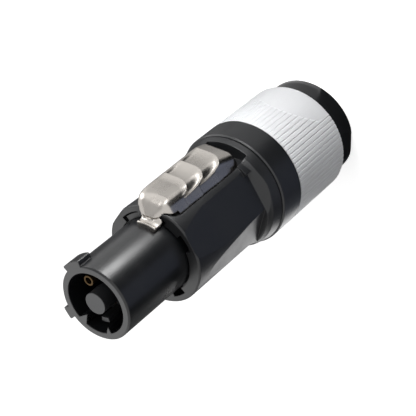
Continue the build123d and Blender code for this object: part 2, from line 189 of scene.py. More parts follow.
# The grip: a cool, light grey polyester, satin, with hardly any grain on its fine ribs.
grip_plastic = moulded("moulded PBT light grey", "#E3E4E6", "#DDDEE0", rough=0.5, grain_mm=0.25,
                       depth_mm=0.003, gloss=0.4, corner_mm=0.1)
# Rubber rings: dead matt, with hardly any highlight.
seal_rubber = moulded("moulded EPDM rubber", "#1E1E1F", "#19191A", rough=0.8, grain_mm=0.4,
                      depth_mm=0.02, gloss=0.2)
dress(housing_nylon, "housing", "bushing")
dress(insert_nylon, "insert")
dress(mouth_nylon_painted_light, "contact_core")
dress(inner_nylon, "contact_carrier", "chuck")
dress(seal_rubber, "gasket", "cable_seal")
print("plastics and rubber on", len(dressed), "pieces and the grip")

# %% [markdown]
# ## Metals
# The latch is die-cast zinc under satin nickel: warm, bright and slightly soft, because the casting
# is tumbled before it is plated. The contacts are silver-plated brass, given a dull brown that is
# partly the brass and partly painted shade for the dark bores they sit in. The screws and clamp
# plates are zinc-plated steel, and the spring is drawn wire. A metal keeps the default IOR, because
# its colour says what it mirrors.

# %% Metals
PLATED = {"grain": (3.0, 0.6), "slow": (4, 2.0, 0.5), "stray": 0.05}


def metal(name, base, deep, rough, grain_mm, depth_mm, corner_mm=0.2):
    """A metal with its own fine surface: two near colours, a roughness and the grain's size."""
    return grained(name, base, deep, rough, grain_mm, depth_mm, corner_mm, PLATED,
                   {"Metallic": 1.0})


# The latch: a wide, soft highlight, cloudy from the tumbler.
latch_nickel = metal("satin nickel on cast zinc", "#C4BFB9", "#B8B3AD", rough=0.27,
                     grain_mm=0.35, depth_mm=0.006, corner_mm=0.35)
# The contacts: dull, and brown with painted shade, so in the dark mouth no more than a rim shows.
contact_brass_painted_shade = metal("silver-plated brass", "#5E4C34", "#4E3F2A", rough=0.5, grain_mm=0.2,
                       depth_mm=0.004)
# Screws and plates: pale and slightly blue, like any zinc plating.
screw_steel = metal("zinc-plated steel", "#B9BCC0", "#A9ACB0", rough=0.35, grain_mm=0.15,
                    depth_mm=0.004)
# The spring: smooth from the drawing die, with a sharp highlight along the wire.
spring_steel = metal("drawn spring steel", "#A8A9AB", "#96979A", rough=0.3, grain_mm=0.1,
                     depth_mm=0.002, corner_mm=0.05)
dress(spring_steel, "latch_spring")
for pole in ("live", "neutral", "earth"):
    dress(contact_brass_painted_shade, f"contact_{pole}")
    dress(screw_steel, f"clamp_plate_{pole}", f"terminal_screw_{pole}")
print("all finishes on", len(dressed), "pieces, besides the latch and the grip")

# %% [markdown]
# ## Thumb latch: the idea
# The real latch is one zinc casting, tumbled before plating, so it has no sharp edge at all. The
# thumb pulls it back by three scales that overlap like tiles: each has a curved rim, and behind
# the rim a hollow. The CAD gives it its size and its travel, and here it gets its soft skin. The
# skin is a loft: a row of points runs across the latch, and the rows lie along the curved rims, so
# that a rim stays a clean line however fine it is. A box with a subdivided, sculpted top could look
# the same, but its rims would wander from face to face.
#
# Along the latch, a place s is counted from the cable end. Across it, x is 0 in the middle, and
# the near side, which faces the camera, is negative. Heights are counted from the axis.

# %% Sizes along the latch, in millimetres
# the two ends, the height at the rear one, and where the rims lie
REAR_END, FRONT_END = 41.6, 72.2
REAR_TOP = 14.75
RIMS = (45.3, 52.2, 58.65)
# height of a rim, length of the step down behind it, and depth of the hollow at its foot
RIM_TOP = 15.68
RIM_STEP = 0.4
HOLLOW = 0.75
# the sides of a hollow sink faster than its middle, by this power
SIDE_POWER = 2.5
# the last scale sinks a little on its way to the dome
FRONT_SINK = 0.3
DOME_START = 61.7
# where the dome at the front comes down, at its sides and in the middle, as (place, height)
shoulders = [(DOME_START, RIM_TOP), (66.5, 15.72), (68.0, 15.65), (69.0, 15.35), (69.8, 14.75),
             (70.5, 13.8), (71.0, 12.9), (FRONT_END, 11.3)]
front_slope = [(DOME_START, RIM_TOP), (66.5, 15.72), (68.0, 15.5), (69.0, 15.05), (69.8, 14.4),
               (70.6, 13.4), (71.4, 12.3), (FRONT_END, 11.3)]
print("latch", round(FRONT_END - REAR_END, 1), "mm long, with", len(RIMS), "rims")


# %% Smooth steps and smooth curves
def blend(x, start, stop):
    """A smooth step from 0 at start to 1 at stop."""
    part = min(1.0, max(0.0, (x - start) / (stop - start)))
    return part * part * (3 - 2 * part)


def settle(x, power=2):
    """A rise from 0 to 1 that is fast at first and flat at the end."""
    return 1 - (1 - x) ** power


def curve(points, x):
    """A smooth curve through points, which never swings past them."""
    slopes = [(y1 - y0) / (x1 - x0) for (x0, y0), (x1, y1) in zip(points, points[1:])]
    ends = [slopes[0]] + [2 * a * b / (a + b) if a * b > 0 else 0.0
                          for a, b in zip(slopes, slopes[1:])] + [slopes[-1]]
    for i, ((x0, y0), (x1, y1)) in enumerate(zip(points, points[1:])):
        if x <= x1 or i == len(slopes) - 1:
            h = x1 - x0
            t = min(1.0, max(0.0, (x - x0) / h))
            return (y0 * (1 + 2 * t) * (1 - t) ** 2 + y1 * t * t * (3 - 2 * t)
                    + h * ends[i] * t * (1 - t) ** 2 - h * ends[i + 1] * t * t * (1 - t))


# %% The scales along the latch
def crown(s):
    """Height of the top along the latch, and how far the row lies down in a hollow, 0 to 1."""
    first, second, third = RIMS
    if s > third:
        rise = min(1.0, (s - third) / (DOME_START - third))
        return RIM_TOP - FRONT_SINK * settle(rise), 0.0
    if s <= first:
        return REAR_TOP + (RIM_TOP - REAR_TOP) * (s - REAR_END) / (first - REAR_END), 0.0
    rear, front = (first, second) if s <= second else (second, third)
    foot = front - RIM_STEP
    if s > foot:
        left = 1 - blend(s, foot, front)
        return RIM_TOP - HOLLOW * left, left
    along = (s - rear) / (foot - rear)
    return RIM_TOP - HOLLOW * settle(along), settle(along, SIDE_POWER)


print("top at the rims", RIM_TOP, "mm, in the hollows", RIM_TOP - HOLLOW, "mm")

# %% [markdown]
# ## Thumb latch: across a row
# The rims sweep forward on the near side, so each row is bent by the same sweep, which dies out at
# both ends of the latch. The hollows get deeper toward the sides, most of all on the near one, and
# close again before the edges. At the front the skin comes down in a dome, earlier in the middle
# than at its shoulders.

# %% Sizes across the latch, in millimetres
HALF_WIDTH = 5.62
half_widths = [(REAR_END, 5.5), (42.4, HALF_WIDTH), (66.0, HALF_WIDTH), (68.0, 5.5), (69.0, 5.2),
               (69.7, 4.8), (70.3, 4.1), (70.8, 3.3), (71.3, 2.6), (FRONT_END, 1.9)]
# a rim's sweep: where across the latch it starts, how it grows, and where along it dies out
SWEEP_START, SWEEP_RATE, SWEEP_POWER = 1.2, 0.045, 2.55
SWEEP_FRONT = 68.5
# how much further forward the near wall lies, and how much deeper the hollows get at the sides
WALL_SWEEP = 3.2
NEAR_DEEPER, FAR_DEEPER = 0.9, 0.4
# distances from the middle at which a change starts and at which it is complete
NEAR_WALL = (3.3, 4.6)
NEAR_DEEPENING, FAR_DEEPENING = (0.9, 3.2), (3.0, 5.6)
NEAR_CLOSING, FAR_CLOSING = (3.2, 4.4), (3.9, 5.4)
DOME_SIDES = (3.4, 1.0)


def sweep(x):
    """How far a rim lies forward at a place across the latch."""
    curved = SWEEP_RATE * max(0.0, SWEEP_START - x) ** SWEEP_POWER
    return curved + WALL_SWEEP * blend(-x, *NEAR_WALL)


def bend(s):
    """How much of the sweep a row takes, from 0 at the ends of the latch to 1."""
    from_rear = (s - REAR_END) / (RIMS[0] - REAR_END)
    to_front = (SWEEP_FRONT - s) / (SWEEP_FRONT - RIMS[2])
    return min(1.0, from_rear, max(0.0, to_front))


def skin_point(s, x, drop):
    """A point of the skin at a place along and across the latch, and a drop below the top."""
    top, sunk = crown(s)
    plain = top if s <= RIMS[0] else RIM_TOP
    z = s + sweep(max(x, -NEAR_WALL[1])) * bend(s)
    level = plain
    if z > DOME_START:
        side, centre = curve(shoulders, z), curve(front_slope, z)
        level = min(plain, side + (centre - side) * blend(abs(x), *DOME_SIDES))
    deeper = NEAR_DEEPER * blend(-x, *NEAR_DEEPENING) + FAR_DEEPER * blend(x, *FAR_DEEPENING)
    share = 1 - blend(-x, *NEAR_CLOSING) - blend(x, *FAR_CLOSING)
    hollow = (plain - top + sunk * deeper) * share
    return Vector((x, -(level - hollow - drop), z))


print("the near side lies up to", round(sweep(-HALF_WIDTH), 1), "mm forward")

# %% [markdown]
# ## Thumb latch: edges, walls and underside
# The far edge has a small radius over a steep wall. The near edge has a wide radius that runs out
# into a leaning wall, which gives the bright band below the scales. At the front both walls stop
# just over the housing's edge. Underneath, a channel holds the spring, and it runs forward by the
# latch's travel, so that nothing meets the spring when the latch is pulled back.

# %% Sizes of the edges and the underside, in millimetres and degrees
# the far side: its edge radius along the latch, and how far its wall leans per millimetre of depth
far_radii = [(REAR_END, 0.9), (60.0, 1.1), (66.0, 1.3), (69.0, 2.0), (FRONT_END, 1.2)]
FAR_DRAFT = 0.07
# the near side: its edge radius, how steep its wall is, how wide the wall is and where it lies
NEAR_RADIUS = 3.0
NEAR_LEAN = 57
NEAR_WALL_WIDTH = 1.6
NEAR_EDGE = -5.6
LEAST_FLAT = 0.2
# the foot of the walls, and in front the round edge of the housing, but for the neck's slot
FOOT = 11.7
EDGE_START, EDGE_RADIUS = 66.6, 13.56
NECK_HALF = 2.0
LEAST_WALL = 0.02
WALL_ROUNDS = 4
# the spring's channel, which is closed to a hair in front of its end
CHANNEL_HALF, CHANNEL_TOP, CHANNEL_FRONT = 1.15, 13.45, 60.9
LEAST_CHANNEL = 0.01
# how many faces a flat and its rounded edge are cut into, and a wall
FAR_STEPS, NEAR_STEPS, WALL_STEPS = (20, 8), (8, 16), 8
print("latch", round(RIM_TOP - FOOT, 2), "mm high over its foot")


# %% Half a row: flat, edge and wall
def wall_end(start, side, slope):
    """Where a wall ends: at the foot, or in front just over the round edge of the housing."""
    foot = FOOT
    # the end's place and its depth depend on each other, so they settle in a few rounds
    for _ in range(WALL_ROUNDS):
        end_x = start.x + side * max(0.0, -start.y - foot) * slope
        if start.z > EDGE_START and abs(end_x) > NECK_HALF:
            foot = math.sqrt(EDGE_RADIUS ** 2 - end_x * end_x)
    return Vector((end_x, -min(foot, -start.y - LEAST_WALL), start.z))


def half_row(s, side, flat, radius, turn, steps, slope):
    """Half a row, from the middle outwards: a flat, an edge that turns down, and a wall."""
    flat_steps, edge_steps = steps
    points = [skin_point(s, side * flat * i / flat_steps, 0) for i in range(flat_steps + 1)]
    for i in range(1, edge_steps + 1):
        angle = math.radians(turn * i / edge_steps)
        points.append(skin_point(s, side * (flat + radius * math.sin(angle)),
                                 radius * (1 - math.cos(angle))))
    start = points[-1]
    end = wall_end(start, side, slope)
    return points + [start.lerp(end, i / WALL_STEPS) for i in range(1, WALL_STEPS + 1)]


# %% A whole row
def latch_row(s):
    """One closed row of points round the latch, in millimetres."""
    radius = curve(far_radii, s)
    far = half_row(s, 1, curve(half_widths, s) - radius, radius, 90, FAR_STEPS, FAR_DRAFT)
    half = curve(half_widths, s + sweep(NEAR_EDGE) * bend(s))
    share = half / HALF_WIDTH
    lean = math.radians(NEAR_LEAN)
    radius = NEAR_RADIUS * share
    flat = max(LEAST_FLAT, half - radius * math.sin(lean) - NEAR_WALL_WIDTH * share)
    near = half_row(s, -1, flat, radius, NEAR_LEAN, NEAR_STEPS, 1 / math.tan(lean))
    base = max(FOOT, min(-far[-1].y, -near[-1].y)) if s > EDGE_START else FOOT
    deep = CHANNEL_TOP if s < CHANNEL_FRONT else FOOT + LEAST_CHANNEL
    under = [Vector((x, -max(height, base), s)) for x, height in (
        (CHANNEL_HALF, FOOT), (CHANNEL_HALF, deep), (-CHANNEL_HALF, deep), (-CHANNEL_HALF, FOOT))]
    return near[::-1] + far[1:] + under


# %% Rows of the latch, close together at the rims
ROW_GAP = 0.2
RIM_ROW_GAP, RIM_ROWS = 0.05, 11

row_count = int((FRONT_END - REAR_END) / ROW_GAP) + 1
places = {round(REAR_END + ROW_GAP * i, 3) for i in range(row_count)}
for rim in RIMS:
    places |= {round(rim - RIM_STEP + RIM_ROW_GAP * (i - 1), 3) for i in range(RIM_ROWS)}
rows = [[p * MM for p in latch_row(s)] for s in sorted(places)]
print("rows", len(rows), "with", len(rows[0]), "points each")

# %% [markdown]
# ## Thumb latch: neck and head
# The neck leaves the front of the pocket and the head lies along the barrel, so both are bent
# round the axis, and their widths are angles. Their front edge stands up a little, which is the
# bright line in the photo. They are lofted like the latch, in rows of their own.

# %% Rows of the neck and head, in millimetres and degrees
NECK_REAR, HEAD_FRONT = 69.5, 73.75
# the height along it, the near side's angle along it, the far side's angle and the underside
neck_top = [(NECK_REAR, 12.5), (70.5, 12.3), (71.4, 11.8), (72.0, 11.4), (72.6, 11.2),
            (73.1, 11.16), (73.5, 11.38), (HEAD_FRONT, 11.36)]
near_angle = [(NECK_REAR, 9.6), (70.75, 9.8), (71.0, 15.6), (71.2, 16.8), (HEAD_FRONT, 17.0)]
FAR_ANGLE = 11.0
UNDER_RADIUS = 10.14
# its edges are rounded by this much, or by a third of its thickness where it is thin
EDGE_ROUNDING = 0.22
# at the head's radius one millimetre is about five degrees
DEGREES_PER_MM = 5
# points run over nine tenths of each half, and the rounded edge takes the rest
TOP_SHARE, TOP_STEPS, ROUNDING_STEPS = 0.9, 10, 6
# first place, gap and number of rows, close together where the neck widens into the head
neck_stretches = [(NECK_REAR, 0.1, 12), (70.68, 0.04, 14), (71.3, 0.1, 25)]
# the rounded front edge: how far forward each last row lies, and how much smaller it is
front_rounding = [(0.06, 0.03), (0.11, 0.08), (0.14, 0.14)]


def neck_row(z, shrink=0.0):
    """One closed row of points round the neck or head, in millimetres."""
    high = curve(neck_top, z) - shrink
    near = -curve(near_angle, z) + shrink * DEGREES_PER_MM
    far = FAR_ANGLE - shrink * DEGREES_PER_MM
    middle, half = (near + far) / 2, (far - near) / 2
    soft = min(EDGE_ROUNDING, (high - UNDER_RADIUS) / 3)
    profile = [(half * TOP_SHARE * i / TOP_STEPS, high) for i in range(TOP_STEPS + 1)]
    for i in range(ROUNDING_STEPS + 1):
        angle = math.radians(90 * i / ROUNDING_STEPS)
        profile.append((half - math.degrees(soft / high) * (1 - math.sin(angle)),
                        high - soft * (1 - math.cos(angle))))
    profile.append((half, UNDER_RADIUS + shrink))
    row = [(middle + turn, radius) for turn, radius in profile]
    row += [(middle - turn, radius) for turn, radius in profile[:0:-1]]
    return [Vector((r * math.sin(math.radians(a)), -r * math.cos(math.radians(a)), z))
            for a, r in row]


neck_rows = [neck_row(start + gap * i)
             for start, gap, count in neck_stretches for i in range(count)]
neck_rows += [neck_row(HEAD_FRONT + forward, shrink) for forward, shrink in front_rounding]
neck_rows = [[p * MM for p in row] for row in neck_rows]
print("neck rows", len(neck_rows))

# %% [markdown]
# ## Thumb latch: one closed skin
# Neighbouring rows are joined by four-sided faces and the last ones are closed by a cap. The faces
# are turned outwards and shaded smooth, all but the large caps, which are flat on the real casting
# too. Latch and neck overlap inside one mesh, because they are one casting.

# %% The latch as one piece
SMOOTH_SIZE = 2 * MM


def join_rows(shape, rows_to_join):
    """Joins each closed row of vertices to the next one by four-sided faces."""
    count = len(rows_to_join[0])
    for a, b in zip(rows_to_join, rows_to_join[1:]):
        for i in range(count):
            j = (i + 1) % count
            shape.faces.new((a[i], a[j], b[j], b[i]))


def skin(name, groups, material):
    """One mesh from groups of closed rows, each group joined row to row and capped at its ends."""
    shape = bmesh.new()
    for group in groups:
        made = [[shape.verts.new(p) for p in row] for row in group]
        join_rows(shape, made)
        shape.faces.new(made[0])
        shape.faces.new(made[-1])
    bmesh.ops.recalc_face_normals(shape, faces=shape.faces)
    mesh = bpy.data.meshes.new(name)
    shape.to_mesh(mesh)
    shape.free()
    mesh.materials.append(material)
    for face in mesh.polygons:
        face.use_smooth = face.area < SMOOTH_SIZE ** 2
    return new_object(name, mesh)


latch_casting = skin("latch_casting", [rows, neck_rows], latch_nickel)
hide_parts("latch")
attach(latch_casting, "thumb_latch")
print("latch faces", len(latch_casting.data.polygons))

# %% [markdown]
# ## Ribbed grip: the idea
# On the real bushing the grip is moulded over the black core: fine, flat ribs with narrow grooves
# between them, and two smooth arched patches at the cable end. The ribs repeat round the axis, so
# Geometry Nodes make one and place it once per rib. An array modifier could turn them too, but it
# could not leave the patches smooth. Every size is an input of the tree.

# %% Sizes of the grip, in metres and degrees
GRIP_REAR, GRIP_FRONT = 7.4, 29.0
grip_sizes = {
    "Rib Count": ("NodeSocketInt", 76),
    "Rear Height": ("NodeSocketFloat", GRIP_REAR * MM),
    "Front Height": ("NodeSocketFloat", GRIP_FRONT * MM),
    "Rear Radius": ("NodeSocketFloat", 15.6 * MM),
    "Front Radius": ("NodeSocketFloat", 15.74 * MM),
    "End Rounding": ("NodeSocketFloat", 0.35 * MM),
    "End Length": ("NodeSocketFloat", 0.5 * MM),
    "Groove Depth": ("NodeSocketFloat", 0.28 * MM),
    "Groove Share": ("NodeSocketFloat", 0.2),
    "Patch Top": ("NodeSocketFloat", 18.7 * MM),
    "Patch Drop": ("NodeSocketFloat", 5.2 * MM),
    "Patch Arch": ("NodeSocketFloat", 35.0),
    "Patch Half Width": ("NodeSocketFloat", 38.0),
    "Patch Middle": ("NodeSocketFloat", -5.0),
    "Patch Sink": ("NodeSocketFloat", 0.1 * MM),
}
ribs = bpy.data.node_groups.new("grip ribs", "GeometryNodeTree")
ribs.interface.new_socket("Geometry", in_out="OUTPUT", socket_type="NodeSocketGeometry")
for name, (kind, value) in grip_sizes.items():
    ribs.interface.new_socket(name, in_out="INPUT", socket_type=kind).default_value = value
ribs.interface.new_socket("Plastic", in_out="INPUT", socket_type="NodeSocketMaterial")
size = add(ribs, "NodeGroupInput").outputs
print("inputs of the rib tree", len(ribs.interface.items_tree) - 1)

# %% [markdown]
# ## Ribbed grip: one rib
# A flat grid, one unit wide and long, is laid on the cylinder. Its lines are crowded toward the
# sides, where the groove needs them, and both ends turn in. The depth of the groove is stored on
# the flat grid, before the points move, because a stored value is worked out from the places of
# that moment. Each line of arithmetic is one Math node.

# %% Across and along one rib
# points across and along it, and how strongly its lines crowd toward the sides
ACROSS, ALONG = 11, 90
CROWDING = 1.25

grid = add(ribs, "GeometryNodeMeshGrid", {"Vertices X": ACROSS, "Vertices Y": ALONG})
grid_place = add(ribs, "GeometryNodeInputPosition")
flat = add(ribs, "ShaderNodeSeparateXYZ", (grid_place,)).outputs
# across: 0 in the middle and 1 at both sides, and the angle that this is on the cylinder
off_middle = add(ribs, MATH, (flat["X"],), operation="ABSOLUTE")
off_middle = add(ribs, MATH, (off_middle, 2.0), operation="MULTIPLY")
to_side = add(ribs, MATH, (1.0, off_middle), operation="SUBTRACT")
crowded = add(ribs, MATH, (to_side, CROWDING), operation="POWER")
outward = add(ribs, MATH, (1.0, crowded), operation="SUBTRACT")
side = add(ribs, MATH, (flat["X"],), operation="SIGN")
across_rib = add(ribs, MATH, (outward, side), operation="MULTIPLY")
half_angle = add(ribs, MATH, (math.pi, size["Rib Count"]), operation="DIVIDE")
angle = add(ribs, MATH, (across_rib, half_angle), operation="MULTIPLY")
# along: 0 at the rear and 1 at the front, and the height that this is
along = add(ribs, MATH, (flat["Y"], 0.5), operation="ADD")
length = add(ribs, MATH, (size["Front Height"], size["Rear Height"]), operation="SUBTRACT")
height = add(ribs, MATH, (along, length, size["Rear Height"]), operation="MULTIPLY_ADD")
print("nodes so far", len(ribs.nodes))

# %% The radius of a rib, which turns in at both ends
widen = add(ribs, MATH, (size["Front Radius"], size["Rear Radius"]), operation="SUBTRACT")
straight = add(ribs, MATH, (along, widen, size["Rear Radius"]), operation="MULTIPLY_ADD")
to_front = add(ribs, MATH, (1.0, along), operation="SUBTRACT")
to_end = add(ribs, MATH, (along, to_front), operation="MINIMUM")
to_end = add(ribs, MATH, (to_end, length), operation="MULTIPLY")
to_end = add(ribs, MATH, (to_end, size["End Length"]), operation="DIVIDE")
near_end = add(ribs, MATH, (1.0, to_end), operation="SUBTRACT", use_clamp=True)
near_end = add(ribs, MATH, (near_end, 2.0), operation="POWER")
turn_in = add(ribs, MATH, (near_end, size["End Rounding"]), operation="MULTIPLY")
radius = add(ribs, MATH, (straight, turn_in), operation="SUBTRACT")
print("nodes so far", len(ribs.nodes))

# %% One rib on the cylinder, with its groove stored
GROOVE_SLOPE = 1.4

groove_start = add(ribs, MATH, (1.0, size["Groove Share"]), operation="SUBTRACT")
at_side = add(ribs, MATH, (outward, groove_start), operation="SUBTRACT")
at_side = add(ribs, MATH, (at_side, size["Groove Share"]), operation="DIVIDE", use_clamp=True)
groove_share = add(ribs, MATH, (at_side, GROOVE_SLOPE), operation="POWER")
groove_depth = add(ribs, MATH, (groove_share, size["Groove Depth"]), operation="MULTIPLY")
grooved = add(ribs, "GeometryNodeStoreNamedAttribute", {
    "Geometry": grid, "Name": "groove", "Value": groove_depth},
    data_type="FLOAT", domain="POINT")
sine = add(ribs, MATH, (angle,), operation="SINE")
cosine = add(ribs, MATH, (angle,), operation="COSINE")
cosine = add(ribs, MATH, (cosine, -1.0), operation="MULTIPLY")
laid_x = add(ribs, MATH, (radius, sine), operation="MULTIPLY")
laid_y = add(ribs, MATH, (radius, cosine), operation="MULTIPLY")
laid = add(ribs, "ShaderNodeCombineXYZ", (laid_x, laid_y, height))
rib = add(ribs, "GeometryNodeSetPosition", {"Geometry": grooved, "Position": laid})
print("nodes for one rib", len(ribs.nodes))

# %% [markdown]
# ## Ribbed grip: all ribs, grooves and patches
# One instance stands at each rib's place, turned about the axis, and the seams are merged. Only
# now can a point know whether it lies on a smooth patch, so the stored grooves are pressed in
# here. The two patches lie opposite each other, each with an arched top.

# %% The ribs round the axis
# two ribs share the points where they meet, which lie within a micrometre
SAME_PLACE = 0.001 * MM

spots = add(ribs, "GeometryNodeMeshLine", {"Count": size["Rib Count"], "Offset": (0, 0, 0)})
whole_angle = add(ribs, MATH, (half_angle, 2.0), operation="MULTIPLY")
rib_number = add(ribs, "GeometryNodeInputIndex")
turned = add(ribs, MATH, (whole_angle, rib_number), operation="MULTIPLY")
rotation = add(ribs, "ShaderNodeCombineXYZ", {"Z": turned})
placed = add(ribs, "GeometryNodeInstanceOnPoints", {
    "Points": spots, "Instance": rib, "Rotation": rotation})
real = add(ribs, "GeometryNodeRealizeInstances", {"Geometry": placed})
whole = add(ribs, "GeometryNodeMergeByDistance", {"Geometry": real, "Distance": SAME_PLACE})
print("nodes so far", len(ribs.nodes))

# %% The two patches: 1 on a patch and 0 elsewhere
rib_place = add(ribs, "GeometryNodeInputPosition")
spot = add(ribs, "ShaderNodeSeparateXYZ", (rib_place,)).outputs
to_latch = add(ribs, MATH, (spot["Y"], -1.0), operation="MULTIPLY")
bearing = add(ribs, MATH, (spot["X"], to_latch), operation="ARCTAN2")
bearing = add(ribs, MATH, (bearing,), operation="DEGREES")
aside = add(ribs, MATH, (bearing, size["Patch Middle"]), operation="SUBTRACT")
aside = add(ribs, MATH, (aside, 90.0, -90.0), operation="WRAP")
aside = add(ribs, MATH, (aside,), operation="ABSOLUTE")
arch = add(ribs, MATH, (aside, size["Patch Arch"]), operation="DIVIDE")
arch = add(ribs, MATH, (arch, 2.0), operation="POWER")
fall = add(ribs, MATH, (arch, size["Patch Drop"]), operation="MULTIPLY")
arch_top = add(ribs, MATH, (size["Patch Top"], fall), operation="SUBTRACT")
below = add(ribs, MATH, (spot["Z"], arch_top), operation="LESS_THAN")
within = add(ribs, MATH, (aside, size["Patch Half Width"]), operation="LESS_THAN")
patch = add(ribs, MATH, (below, within), operation="MULTIPLY")
print("nodes so far", len(ribs.nodes))

# %% Grooves pressed in, but not on the patches
stored = add(ribs, "GeometryNodeInputNamedAttribute", {"Name": "groove"}, data_type="FLOAT")
off_patch = add(ribs, MATH, (1.0, patch), operation="SUBTRACT")
pressed = add(ribs, MATH, (stored, off_patch), operation="MULTIPLY")
inward = add(ribs, MATH, (patch, size["Patch Sink"], pressed), operation="MULTIPLY_ADD")
outward_by = add(ribs, MATH, (inward, -1.0), operation="MULTIPLY")
level_place = add(ribs, "ShaderNodeCombineXYZ", (spot["X"], spot["Y"]))
outwards = add(ribs, "ShaderNodeVectorMath", (level_place,), operation="NORMALIZE")
push = add(ribs, "ShaderNodeVectorMath", {0: outwards, "Scale": outward_by}, operation="SCALE")
shaped = add(ribs, "GeometryNodeSetPosition", {"Geometry": whole, "Offset": push})
smooth = add(ribs, "GeometryNodeSetShadeSmooth", {"Geometry": shaped})
final = add(ribs, "GeometryNodeRealizeInstances", {"Geometry": smooth})
painted = add(ribs, "GeometryNodeSetMaterial", {"Geometry": final, "Material": size["Plastic"]})
add(ribs, "NodeGroupOutput", {"Geometry": painted})
print("nodes in the whole tree", len(ribs.nodes))

# %% [markdown]
# ## Ribbed grip: a plain mesh
# The tree runs on an empty carrier, with its inputs set by their identifiers before it is first
# evaluated, and the result becomes a plain mesh. A turned sleeve under the ribs gives the grip its
# wall, down to the bore that sits on the core.

# %% The tree's result
carrier = new_object("grip carrier", bpy.data.meshes.new("grip carrier"))
modifier = carrier.modifiers.new("ribs", "NODES")
modifier.node_group = ribs
for item in ribs.interface.items_tree:
    if item.in_out == "INPUT":
        modifier[item.identifier] = (
            grip_plastic if item.name == "Plastic" else grip_sizes[item.name][1])
ready = carrier.evaluated_get(bpy.context.evaluated_depsgraph_get())
rib_mesh = bpy.data.meshes.new_from_object(ready)
bpy.data.objects.remove(carrier)
print("rib faces", len(rib_mesh.polygons))

# %% Ribs and sleeve as one piece
BORE_RADIUS = 13.4
SLEEVE_STEPS = 144
# half a section through the sleeve, as (radius, height) in millimetres, just under the grooves
sleeve_outline = [(BORE_RADIUS, GRIP_REAR), (15.0, GRIP_REAR), (15.24, 7.68), (15.34, 28.7),
                  (15.2, GRIP_FRONT), (BORE_RADIUS, GRIP_FRONT)]
sleeve_ways = [math.tau * i / SLEEVE_STEPS for i in range(SLEEVE_STEPS)]
grip_shape = bmesh.new()
grip_shape.from_mesh(rib_mesh)
rings = [[grip_shape.verts.new(Vector((r * math.sin(way), -r * math.cos(way), z)) * MM)
          for way in sleeve_ways] for r, z in sleeve_outline]
join_rows(grip_shape, rings + rings[:1])
bmesh.ops.recalc_face_normals(grip_shape, faces=grip_shape.faces)
grip_shape.to_mesh(rib_mesh)
grip_shape.free()
grip = new_object("ribbed_grip", rib_mesh)
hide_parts("bushing_grip")
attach(grip, "screw_bushing")
print("grip faces", len(rib_mesh.polygons))

# %% [markdown]
# ## Camera
# The photo looks down on the mouth from in front of the latch, with the camera rolled so that the
# connector lies across the picture. The lens is long, as for product shots. Its angles and its
# distance are the ones at which the circles of the mouth, the flange and the grip have the
# photo's shapes.

# %% Camera
AZIMUTH = -40.53
ELEVATION = 41.5
ROLL = 129.66
DISTANCE = 378.4 * MM
AIM = Vector((0.79, 0.68, 46.7)) * MM
SENSOR = 36.0
# the focal length counted in the photo's pixels, the photo's width, and how far it is off centre
FOCAL_PIXELS = 1492.6
IMAGE_PIXELS = 416
SHIFT_PIXELS = (-0.5, 1.0)


def toward(azimuth_deg, elevation_deg):
    """A direction out of the object: azimuth 0 is the latch's side, elevation 90 is up."""
    a, e = math.radians(azimuth_deg), math.radians(elevation_deg)
    return Vector((math.sin(a) * math.cos(e), -math.cos(a) * math.cos(e), math.sin(e)))


back = toward(AZIMUTH, ELEVATION)
roll = math.radians(ROLL)
level_right = Vector((0, 0, 1)).cross(back).normalized()
level_up = back.cross(level_right)
camera_right = math.cos(roll) * level_right - math.sin(roll) * level_up
camera_up = math.cos(roll) * level_up + math.sin(roll) * level_right

camera = new_object("camera", bpy.data.cameras.new("camera"))
turn = Matrix((camera_right, camera_up, back)).transposed().to_4x4()
camera.matrix_world = Matrix.Translation(AIM + back * DISTANCE) @ turn
camera.data.sensor_width = SENSOR
camera.data.lens = FOCAL_PIXELS * SENSOR / IMAGE_PIXELS
camera.data.shift_x, camera.data.shift_y = (shift / IMAGE_PIXELS for shift in SHIFT_PIXELS)
bpy.context.scene.camera = camera
print("camera at", [round(c, 3) for c in camera.location], "m, lens", round(camera.data.lens, 1))

# %% [markdown]
# ## Studio: boards
# Dark plastic shows its shape only by what it mirrors, so a product studio works with black, grey
# and white boards as much as with lamps. Here they lie just over the floor, as parts of flat rings
# round the connector, and one card stands high in front. Only reflections see them, so the picture
# keeps its white ground. They are placed for the photo's camera, by what each surface mirrors to
# it: dark ones for the black flanks, lighter ones for the lit facet and for the latch.

# %% Boards on the floor
# the middle of what the camera sees, where the card and the lamps are aimed
MIDDLE = Vector((0, 0, 52)) * MM
BOARD_STEPS = 24
# the lowest board's height over the floor and the gap to the next, in millimetres
LOWEST_BOARD, BOARD_GAP = 0.3, 0.2
# azimuths in degrees, radii in millimetres, colour and strength
boards = {
    "black board": ((-205, -16), (12, 400), "#1A1B1C", 1.0),
    "blue board": ((-108, -56), (22, 150), "#747B8E", 1.0),
    "pale blue board": ((-108, -56), (150, 400), "#A4A8B4", 1.0),
    "grey board": ((-148, -112), (34, 78), "#7A7F8C", 1.0),
    "white gap": ((-184, -150), (28, 92), "#FFFFFF", 2.2),
    "far board": ((-215, -140), (92, 400), "#666666", 1.0),
    "top board": ((72, 150), (12, 400), "#707070", 1.0),
    "near board": ((-16, 76), (12, 94), "#C8C8C8", 1.0),
    "rear board": ((50, 150), (8, 44), "#868686", 1.0),
}


def only_mirrored(name, points, faces, shade, strength):
    """A glowing board that is seen by reflections alone."""
    mesh = bpy.data.meshes.new(name)
    mesh.from_pydata(points, [], faces)
    board = new_object(name, mesh)
    material, tree = new_material(name)
    plain = add(tree, "ShaderNodeEmission", {"Color": colour(shade), "Strength": strength})
    add(tree, "ShaderNodeOutputMaterial", {"Surface": plain})
    mesh.materials.append(material)
    board.visible_camera = False
    board.visible_diffuse = False
    board.visible_shadow = False
    board.visible_transmission = False


